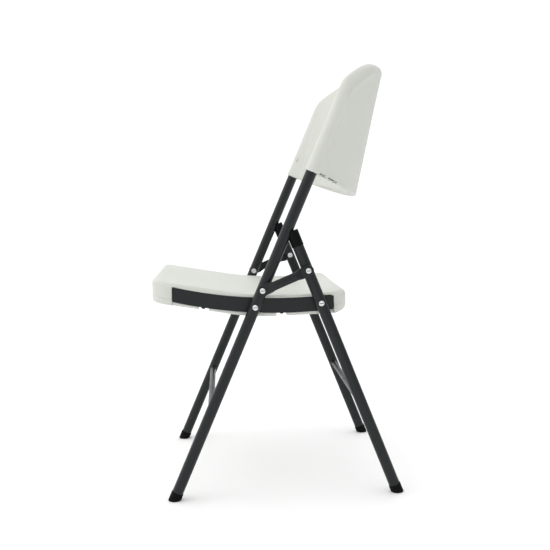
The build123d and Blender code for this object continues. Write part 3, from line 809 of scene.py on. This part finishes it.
class CHAIR_OT_feet(bpy.types.Operator):
    """Finish the rubber feet and the caps on the rear legs"""
    bl_idname = "folding_chair.feet"
    bl_label = "Feet and Caps"

    def execute(self, context):
        settings = context.scene.chair_frame
        paint(rubber(linear(settings.rubber)), "front_foot", "rear_foot")
        paint(polypropylene(linear(settings.plastic)), "rear_leg_cap")
        return {"FINISHED"}


def plain_material(name, colour, roughness):
    """Seamless paper backdrop: matt, with a faint fibre mottle."""
    def build(tree, place):
        mottle = pattern(tree, place, 180, detail=3)
        base = tinted(tree, mottle, shaded(colour, 0.985), colour)
        return add_node(tree, "BsdfPrincipled", {"Base Color": base}, Roughness=roughness)
    return object_material(name, build)


BRIGHT_SIDE = (-0.2, -0.45, 0.87)    # where the surroundings are brightest: above and a little in front


def area_light(name, place, target, size, watts, colour="#FFFFFF"):
    """A square soft light that faces a target."""
    light = bpy.data.lights.new(name, "AREA")
    light.shape = "SQUARE"
    light.size = size
    light.energy = watts
    light.color = linear(colour)[:3]
    lamp = bpy.data.objects.new(name, light)
    lamp.location = place
    lamp.rotation_euler = (Vector(target) - Vector(place)).to_track_quat("-Z", "Y").to_euler()
    bpy.context.scene.collection.objects.link(lamp)
    return lamp


class CHAIR_OT_stage(bpy.types.Operator):
    """Lay the floor and set the light and the camera"""
    bl_idname = "folding_chair.stage"
    bl_label = "Stage"

    def execute(self, context):
        scene, settings = context.scene, context.scene.chair_stage
        reach = 12.0
        mesh = bpy.data.meshes.new("floor")
        corners = [(-reach, -reach, 0), (reach, -reach, 0), (reach, reach, 0), (-reach, reach, 0)]
        mesh.from_pydata(corners, [], [(0, 1, 2, 3)])
        floor = bpy.data.objects.new("floor", mesh)
        floor.location.z = -0.0005
        mesh.materials.append(plain_material("backdrop_paper_matt", linear("#FBFBFB"), 0.95))
        scene.collection.objects.link(floor)

        world = bpy.data.worlds.new("white_surroundings")
        world.use_nodes = True
        world.node_tree.nodes.clear()
        tree = world.node_tree
        heading = add_node(tree, "TexCoord").outputs["Generated"]
        facing = add_node(tree, "VectorMath", {0: heading}, operation="DOT_PRODUCT")
        facing.inputs[1].default_value = BRIGHT_SIDE
        slope = ramp(tree, facing.outputs["Value"], settings.sky - settings.sky_slope,
                     settings.sky + settings.sky_slope, -1.0, 1.0)
        lit = add_node(tree, "Background", {"Strength": slope}, Color=(1, 1, 1, 1))
        seen = add_node(tree, "Background", Color=(1, 1, 1, 1), Strength=1.1)
        to_camera = add_node(tree, "LightPath").outputs["Is Camera Ray"]
        sky = add_node(tree, "MixShader", {0: to_camera, 1: lit.outputs[0], 2: seen.outputs[0]})
        add_node(tree, "OutputWorld", {"Surface": sky.outputs[0]})
        scene.world = world
        scene.view_settings.view_transform = "Standard"

        area_light("key_light", (0.5, -2.2, 2.6), (0, 0, 0.45), 1.4, settings.key_watts)

        camera = bpy.data.cameras.new("camera")
        camera.lens = settings.lens
        camera.sensor_width = 36.0
        camera.dof.use_dof = False
        seat = bpy.data.objects.new("camera", camera)
        right = Vector((0.0644, 0.9978, -0.0172)).normalized()
        up = Vector((-0.0946, 0.0233, 0.9953)).normalized()
        turn = Matrix((right, up, right.cross(up))).transposed()
        seat.matrix_world = Matrix.Translation(settings.camera_place) @ turn.to_4x4()
        scene.collection.objects.link(seat)
        scene.camera = seat
        return {"FINISHED"}


OPERATORS = (CHAIR_OT_shells, CHAIR_OT_frame, CHAIR_OT_hardware, CHAIR_OT_feet, CHAIR_OT_stage)
GROUPS = {"chair_shells": ShellSettings, "chair_frame": FrameSettings, "chair_stage": StageSettings}


class CHAIR_PT_panel(bpy.types.Panel):
    """The chair's settings and builders"""
    bl_idname = "CHAIR_PT_panel"
    bl_label = "Folding Chair"
    bl_space_type = "VIEW_3D"
    bl_region_type = "UI"
    bl_category = "Folding Chair"

    def draw(self, context):
        layout = self.layout
        for name, group in GROUPS.items():
            box = layout.box()
            for field in group.__annotations__:
                box.prop(getattr(context.scene, name), field)
        for operator in OPERATORS:
            layout.operator(operator.bl_idname)


def register():
    """Adds the settings, operators and panel."""
    for group in GROUPS.values():
        bpy.utils.register_class(group)
    for name, group in GROUPS.items():
        setattr(bpy.types.Scene, name, PointerProperty(type=group))
    for operator in OPERATORS:
        bpy.utils.register_class(operator)
    bpy.utils.register_class(CHAIR_PT_panel)


def unregister():
    """Takes them away again."""
    bpy.utils.unregister_class(CHAIR_PT_panel)
    for operator in reversed(OPERATORS):
        bpy.utils.unregister_class(operator)
    for name, group in GROUPS.items():
        delattr(bpy.types.Scene, name)
        bpy.utils.unregister_class(group)


def main():
    """Registers the add-on and builds everything in order."""
    register()
    bpy.ops.folding_chair.shells()
    bpy.ops.folding_chair.frame()
    bpy.ops.folding_chair.hardware()
    bpy.ops.folding_chair.feet()
    bpy.ops.folding_chair.stage()


if __name__ == "__main__":
    main()
